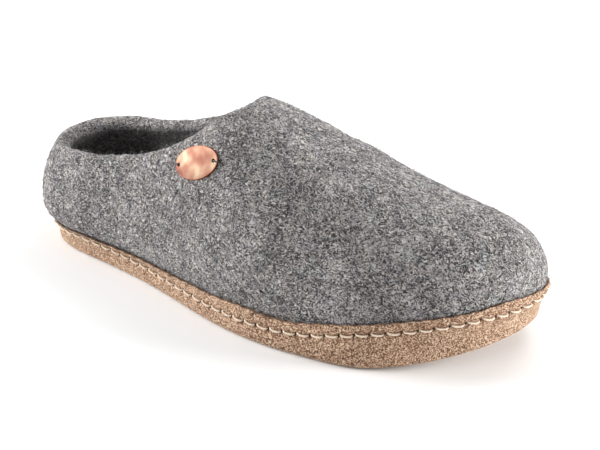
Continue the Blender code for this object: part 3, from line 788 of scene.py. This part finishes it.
def stitchTree():
    tree, size = newTree("thread stitches", {
        "Span": 6 * mm, "Ply Radius": 0.3 * mm, "Ply Offset": 0.24 * mm, "Rise": 0.3 * mm, "Dip": 1 * mm,
        "Sag": 0.5 * mm, "Slant": 0.3 * mm, "Turns": 3.5, "Thread": None})
    line = addNode(tree, "GeometryNodeCurvePrimitiveLine", {
        "Start": (0.0, 0.0, 0.0), "End": (1.0, 0.0, 0.0)})
    line = addNode(tree, "GeometryNodeResampleCurve", {"Curve": line, "Count": 19})
    share = addNode(tree, "GeometryNodeSplineParameter").outputs["Factor"]
    centred = addNode(tree, "ShaderNodeMath", {0: share, 1: 2.0, 2: -1.0}, operation="MULTIPLY_ADD")
    square = addNode(tree, "ShaderNodeMath", {0: centred, 1: centred}, operation="MULTIPLY")
    sixth = addNode(tree, "ShaderNodeMath", {0: square, 1: 3.0}, operation="POWER")
    along = addNode(tree, "ShaderNodeMath", {0: centred, 1: size["Span"]}, operation="MULTIPLY")
    along = addNode(tree, "ShaderNodeMath", {0: along, 1: 0.5}, operation="MULTIPLY")
    sag = addNode(tree, "ShaderNodeMath", {0: square, 1: 1.0}, operation="SUBTRACT")
    lean = addNode(tree, "ShaderNodeMath", {0: centred, 1: size["Slant"]}, operation="MULTIPLY")
    sag = addNode(tree, "ShaderNodeMath", {0: sag, 1: size["Sag"]}, operation="MULTIPLY")
    sag = addNode(tree, "ShaderNodeMath", {0: sag, 1: lean}, operation="SUBTRACT")
    drop = addNode(tree, "ShaderNodeMath", {0: size["Rise"], 1: size["Dip"]}, operation="ADD")
    lift = addNode(tree, "ShaderNodeMath", {0: sixth, 1: drop}, operation="MULTIPLY")
    lift = addNode(tree, "ShaderNodeMath", {0: size["Rise"], 1: lift}, operation="SUBTRACT")
    ring = addNode(tree, "GeometryNodeCurvePrimitiveCircle", {
        "Resolution": 6, "Radius": size["Ply Radius"]}, mode="RADIUS")
    twist = addNode(tree, "ShaderNodeMath", {0: share, 1: size["Turns"]}, operation="MULTIPLY")
    plies = addNode(tree, "GeometryNodeJoinGeometry")
    for start in (0.0, math.pi):
        angle = addNode(tree, "ShaderNodeMath", {0: twist, 1: math.tau, 2: start}, operation="MULTIPLY_ADD")
        sides = []
        for wave, middle in (("COSINE", sag), ("SINE", lift)):
            side = addNode(tree, "ShaderNodeMath", {0: angle}, operation=wave)
            sides.append(addNode(tree, "ShaderNodeMath", {
                0: side, 1: size["Ply Offset"], 2: middle}, operation="MULTIPLY_ADD"))
        spot = addNode(tree, "ShaderNodeCombineXYZ", {"X": along, "Y": sides[0], "Z": sides[1]})
        ply = addNode(tree, "GeometryNodeSetPosition", {"Geometry": line, "Position": spot})
        ply = addNode(tree, "GeometryNodeCurveToMesh", {
            "Curve": ply, "Profile Curve": ring, "Fill Caps": True})
        setInputs(tree, plies, {0: ply})
    ahead = addNode(tree, "GeometryNodeInputNamedAttribute", {"Name": "ahead"}, data_type="FLOAT_VECTOR")
    outward = addNode(tree, "GeometryNodeInputNamedAttribute", {"Name": "outward"}, data_type="FLOAT_VECTOR")
    lie = addNode(tree, "FunctionNodeAxesToRotation", {
        0: outward, 1: ahead}, primary_axis="Z", secondary_axis="X")
    length = addNode(tree, "GeometryNodeInputNamedAttribute", {"Name": "stretch"}, data_type="FLOAT")
    scale = addNode(tree, "ShaderNodeCombineXYZ", {"X": length, "Y": 1.0, "Z": 1.0})
    roots = addNode(tree, "GeometryNodeMeshToPoints", {"Mesh": size["Geometry"]})
    laid = addNode(tree, "GeometryNodeInstanceOnPoints", {
        "Points": roots, "Instance": plies, "Rotation": lie, "Scale": scale})
    return finishTree(tree, laid, size["Thread"])


def sewStitches(sizes, seam, count, material):
    surface = surfaceOf(soleMesh)
    steps = seamSizes["perStitch"]
    span = seamSizes["pitch"] - sizes["gap"]
    spots, aheads, outs, stretches = [], [], [], []
    for k in range(count):
        mid = Vector(seam[k * steps + steps // 2])
        ahead = Vector(seam[((k + 1) * steps) % len(seam)]) - Vector(seam[k * steps])
        aim = ahead.cross(Vector((0, 0, 1))).normalized()
        spot, normal = surface.ray_cast(mid + aim * 30 * mm, -aim)[:2]
        spots.append(spot)
        aheads.append(ahead.normalized())
        outs.append((aim + 0.5 * normal).normalized())
        stretches.append((ahead.length - sizes["gap"]) / span)
    mesh = bpy.data.meshes.new("stitch places")
    mesh.from_pydata(spots, [], [])
    for name, vectors in (("ahead", aheads), ("outward", outs)):
        layer = mesh.attributes.new(name, "FLOAT_VECTOR", "POINT")
        layer.data.foreach_set("vector", np.array(vectors, np.float32).ravel())
    addValues(mesh, "stretch", stretches)
    return runTree(stitchTree(), mesh, {
        "Span": span, "Ply Radius": sizes["threadRadius"], "Ply Offset": sizes["plyOffset"],
        "Rise": sizes["rise"], "Dip": sizes["dip"], "Sag": sizes["sag"], "Slant": sizes["slant"],
        "Turns": sizes["turns"], "Thread": material}, "seam_thread")


def threadMaterial(name, light, dark):
    # Waxed cotton thread: a soft gloss on the plies and fine fuzz
    material, tree, shader = newMaterial(name)
    fuzz = addNode(tree, "ShaderNodeTexNoise", {
        "Vector": inMillimetres(tree), "Scale": 1 / 0.3, "Detail": 2.0})
    fuzz = fuzz.outputs["Fac"]
    tone = fillRamp(addNode(tree, "ShaderNodeValToRGB", {"Fac": fuzz}), ((0.35, dark), (0.62, light)))
    relief = addNode(tree, "ShaderNodeBump", {"Strength": 0.4, "Distance": 0.08 * mm, "Height": fuzz})
    setInputs(tree, shader, {"Base Color": tone, "Roughness": 0.6, "Sheen Weight": 0.15, "Normal": relief})
    return material


# Copper tag
tagSizes = {
    "length": 26.6 * mm,
    "height": 15.8 * mm,
    "thick": 1.0 * mm,
    "dome": 0.25 * mm,
    "round": 0.22 * mm,
    "hole": 1.9 * mm,
    "holeEdge": 2.2 * mm,
    "rings": 14,
    "around": 72,
    "threadRadius": 0.36 * mm,
    "threadSides": 8,
    # along the plate from its hole, and above the felt, in mm
    "threadTable": ((-0.5, -0.4), (-0.3, 0.9), (0.2, 1.75), (1.1, 1.95),
                    (2.1, 1.85), (3.0, 1.3), (3.7, 0.5), (4.0, -0.5)),
    "threadTones": ("#4A4443", "#241F1F"),
}


def tagFrame():
    # Middle and axes of the CAD tag, and its points in them
    points = pointsOf(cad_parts["tag"].data)
    low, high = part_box("tag")
    middle = 0.5 * (np.array(low) + np.array(high))
    axes = np.linalg.eigh(np.cov((np.unique(points.round(6), axis=0) - middle).T))[1]
    out = axes[:, 0] * (-1 if axes[1, 0] > 0 else 1)
    along = axes[:, 2] * (-1 if axes[0, 2] < 0 else 1)
    up = np.cross(out, along)
    up = up * (-1 if up[2] < 0 else 1)
    local = (points - middle) @ np.stack([along, up, out], 1)
    centre = 0.5 * (local.min(axis=0) + local.max(axis=0))
    middle = middle + along * centre[0] + up * centre[1]
    return middle, along, up, out, local - [centre[0], centre[1], 0]


def dressTag(sizes):
    # The plate follows the CAD tag's own bend, found as a quadric through its points
    middle, along, up, out, local = tagFrame()
    a, b = local[:, 0], local[:, 1]
    terms = np.stack([np.ones(len(local)), a, b, a ** 2, a * b, b ** 2], 1)
    bend = np.linalg.lstsq(terms, local[:, 2], rcond=None)[0]
    bm = bmesh.new()
    rims = []
    for face in (-0.5, 0.5):
        rings = []
        for ring in range(1, sizes["rings"] + 1):
            share = math.sin(0.5 * math.pi * ring / sizes["rings"])
            row = []
            for k in range(sizes["around"]):
                turn = math.tau * k / sizes["around"]
                a = 0.5 * sizes["length"] * share * math.cos(turn)
                b = 0.5 * sizes["height"] * share * math.sin(turn)
                depth = np.dot(bend, [1, a, b, a * a, a * b, b * b]) + face * sizes["thick"]
                if face > 0:
                    depth += sizes["dome"] * (1 - share ** 2)
                row.append(bm.verts.new(middle + along * a + up * b + out * depth))
            rings.append(row)
        bm.faces.new(rings[0])
        for inner, outer in zip(rings, rings[1:]):
            bridgeRings(bm, inner, outer)
        rims.append(rings[-1])
    bridgeRings(bm, *rims)
    bmesh.ops.recalc_face_normals(bm, faces=bm.faces)
    plate = linkObject("tag plate", meshFrom(bm, "tag plate"))
    drills = []
    for side in (-1, 1):
        drill = bmesh.new()
        bmesh.ops.create_cone(drill, cap_ends=True, segments=28, radius1=sizes["hole"] / 2,
                              radius2=sizes["hole"] / 2, depth=12 * mm)
        cutter = linkObject("drill", meshFrom(drill, "drill"))
        cutter.location = Vector(middle + along * side * (0.5 * sizes["length"] - sizes["holeEdge"]))
        turnTo(cutter, Vector(out))
        drills.append(cutter)
        cut = plate.modifiers.new("sewing hole", "BOOLEAN")
        cut.operation = "DIFFERENCE"
        cut.solver = "EXACT"
        cut.object = cutter
    soften = plate.modifiers.new("rolled edges", "BEVEL")
    soften.width = sizes["round"]
    soften.segments = 3
    soften.limit_method = "ANGLE"
    soften.angle_limit = math.radians(50)
    mesh = evaluatedMesh(plate, "copper_tag")
    for item in drills + [plate]:
        bpy.data.objects.remove(item)
    local = (pointsOf(mesh) - middle) @ np.stack([along, up], 1) / mm
    addMap(mesh, "plate", local[cornersOf(mesh)])
    return mesh


def bridgeRings(bm, first, second):
    count = len(first)
    for k in range(count):
        j = (k + 1) % count
        bm.faces.new((first[k], first[j], second[j], second[k]))


def sewTag(sizes):
    # A loop of dark thread from each hole, over the plate's end and down into the felt
    middle, along, up, out = tagFrame()[:4]
    hole = 0.5 * sizes["length"] - sizes["holeEdge"]
    sides = sizes["threadSides"]
    surface = surfaceOf(feltMesh)
    bm = bmesh.new()
    for side, lean in ((-1, 0.25), (1, -0.35)):
        path = []
        for reach, height in sizes["threadTable"]:
            spot = Vector(middle + along * side * (hole + reach * mm) + up * lean * reach * mm)
            start = spot + Vector(out) * 20 * mm
            path.append(surface.ray_cast(start, -Vector(out))[0] + Vector(out) * height * mm)
        rings = []
        for k, spot in enumerate(path):
            ahead = (path[min(k + 1, len(path) - 1)] - path[max(k - 1, 0)]).normalized()
            across = ahead.cross(Vector(up)).normalized()
            level = ahead.cross(across)
            ring = []
            for turn in [math.tau * j / sides for j in range(sides)]:
                offset = across * math.cos(turn) + level * math.sin(turn)
                ring.append(bm.verts.new(spot + sizes["threadRadius"] * offset))
            rings.append(ring)
        for first, second in zip(rings, rings[1:]):
            bridgeRings(bm, first, second)
        bm.faces.new(rings[0][::-1])
        bm.faces.new(rings[-1])
    bmesh.ops.recalc_face_normals(bm, faces=bm.faces)
    return meshFrom(bm, "tag_thread")


copperLook = {
    "patch": 8.0,                  # size in mm
    "wipe": (6.0, 0.22),           # length and width in mm
    "tones": ((0.34, "#72493E"), (0.46, "#7D5A4B"), (0.54, "#866756"), (0.66, "#8F7B67")),
    "edge": "#7A3F2C",
    "roughness": (0.55, 0.48),
}


def copperMaterial(look):
    # Copper sheet, stamped and polished, dulled by handling: a satin gloss with rosy patches of tarnish,
    # fine wipes and a darker edge
    material, tree, shader = newMaterial("copper sheet, polished")
    plate = addNode(tree, "ShaderNodeUVMap", uv_map="plate")
    patches = addNode(tree, "ShaderNodeTexNoise", {
        "Vector": plate, "Scale": 1 / look["patch"], "Detail": 1.5, "Roughness": 0.5, "Distortion": 0.3})
    patches = patches.outputs["Fac"]
    long, wide = look["wipe"]
    wipe = addNode(tree, "ShaderNodeMapping", {
        "Vector": plate, "Rotation": (0.0, 0.0, 0.5), "Scale": (1 / long, 1 / wide, 1.0)})
    wipe = addNode(tree, "ShaderNodeTexNoise", {"Vector": wipe, "Scale": 1.0, "Detail": 2.0})
    tone = fillRamp(addNode(tree, "ShaderNodeValToRGB", {"Fac": patches}), look["tones"])
    halves = (2 * mm / tagSizes["length"], 2 * mm / tagSizes["height"], 0.0)
    edge = addNode(tree, "ShaderNodeVectorMath", {0: plate, 1: halves}, operation="MULTIPLY")
    edge = addNode(tree, "ShaderNodeVectorMath", {0: edge}, operation="LENGTH")
    edge = addNode(tree, "ShaderNodeMapRange", {
        "Value": edge.outputs["Value"], "From Min": 0.94, "From Max": 1.0, "To Min": 0.0, "To Max": 0.85},
        interpolation_type="SMOOTHSTEP")
    tone = addNode(tree, "ShaderNodeMix", {0: edge, 6: tone, 7: colourOf(look["edge"])}, data_type="RGBA")
    gloss = addNode(tree, "ShaderNodeMapRange", {
        "Value": patches, "From Min": 0.3, "From Max": 0.7,
        "To Min": look["roughness"][0], "To Max": look["roughness"][1]})
    relief = addNode(tree, "ShaderNodeBump", {
        "Strength": 0.25, "Distance": 0.05 * mm, "Height": wipe.outputs["Fac"]})
    relief = addNode(tree, "ShaderNodeBump", {
        "Strength": 0.12, "Distance": 0.10 * mm, "Height": patches, "Normal": relief})
    setInputs(tree, shader, {
        "Base Color": tone.outputs[2], "Metallic": 1.0, "Roughness": gloss, "Normal": relief})
    return material


# Stage: a white sweep, soft light from above and two fills, beyond the heel and beyond the toe
stageSizes = {
    "floor": 3.0,
    "paper": "#F9F9F9",
    "world": 0.58,
    "aim": (0.0, 0.0, 0.03),
    "lamps": {
        "key": {"power": 5.6, "size": 0.7, "place": (0.05, 0.85, 0.95)},
        "heel fill": {"power": 26.0, "size": 0.8, "place": (-1.22, -0.42, 0.44)},
        "toe fill": {"power": 24.0, "size": 0.5, "place": (1.18, 0.60, 0.32)},
    },
}


def setStage(sizes):
    bm = bmesh.new()
    bmesh.ops.create_grid(bm, x_segments=2, y_segments=2, size=sizes["floor"])
    floor = linkObject("floor", meshFrom(bm, "floor"))
    material, tree, shader = newMaterial("white paper sweep")
    setInputs(tree, shader, {
        "Base Color": colourOf(sizes["paper"]), "Roughness": 1.0, "Specular IOR Level": 0.0})
    floor.data.materials.append(material)
    world = bpy.data.worlds.new("studio")
    world.use_nodes = True
    setInputs(world.node_tree, world.node_tree.nodes["Background"], {
        "Color": (1.0, 1.0, 1.0, 1.0), "Strength": sizes["world"]})
    scene.world = world
    for name, values in sizes["lamps"].items():
        data = bpy.data.lights.new(name, "AREA")
        data.energy = values["power"]
        data.size = values["size"]
        lamp = linkObject(name, data)
        lamp.location = values["place"]
        turnTo(lamp, Vector(values["place"]) - Vector(sizes["aim"]))
    scene.view_settings.view_transform = "Standard"


setStage(stageSizes)
print("stage set")

# Pieces
seamLine, stitchCount = findSeam(fineCopy("sole", 2), seamSizes)
soleMesh = dressSole(soleSizes, seamLine, stitchCount)
sole = linkPiece("suede_sole", soleMesh, suedeMaterial(suedeLook), "suede")
print("sole dressed")

thread = threadMaterial("waxed cotton thread, cream", *stitchSizes["tones"])
linkPiece("seam_thread", sewStitches(stitchSizes, seamLine, stitchCount, thread), thread, "suede")
print("stitches sewn")

feltStops = ((0.30, "#363436"), (0.42, "#615E61"), (0.52, "#878483"), (0.62, "#A9A6A3"), (0.76, "#CFCCC8"))
feltMesh = dressFelt(feltSizes)
felt = linkPiece("felt_upper", feltMesh,
    feltMaterial("wet-felted wool, grey melange", feltLook, feltStops, 1), "felt")
print("felt shaped")

napArea = 0.0
for polygon in feltMesh.polygons:
    napArea += polygon.area * np.mean([feltMesh.attributes["nap"].data[v].value for v in polygon.vertices])
lying = lyingTree(fibreWaves)
standing = standingTree(fibreWaves)
for kind, sizes in fibreSizes.items():
    growFibres(kind, sizes, lying if "lift" in sizes else standing, napArea)

insoleStops = ((0.30, "#252525"), (0.42, "#3E3C3D"), (0.52, "#575554"), (0.62, "#74706F"), (0.76, "#9E9A97"))
footbed = feltMaterial("wool felt footbed, dark grey", feltLook, insoleStops, 2)
insole = linkPiece("wool_footbed", fineCopy("insole", 2), footbed, "footbed")
print("footbed laid")

tag = linkPiece("copper_tag", dressTag(tagSizes), copperMaterial(copperLook), "copper")
tagThread = threadMaterial("waxed cotton thread, charcoal", *tagSizes["threadTones"])
linkPiece("tag_thread", sewTag(tagSizes), tagThread, "felt")
print("tag made")

for piece, node in ((sole, "sole"), (felt, "upper"), (insole, "insole"), (tag, "tag")):
    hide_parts(node)
for piece, slotName in pieces:
    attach(piece, "root")
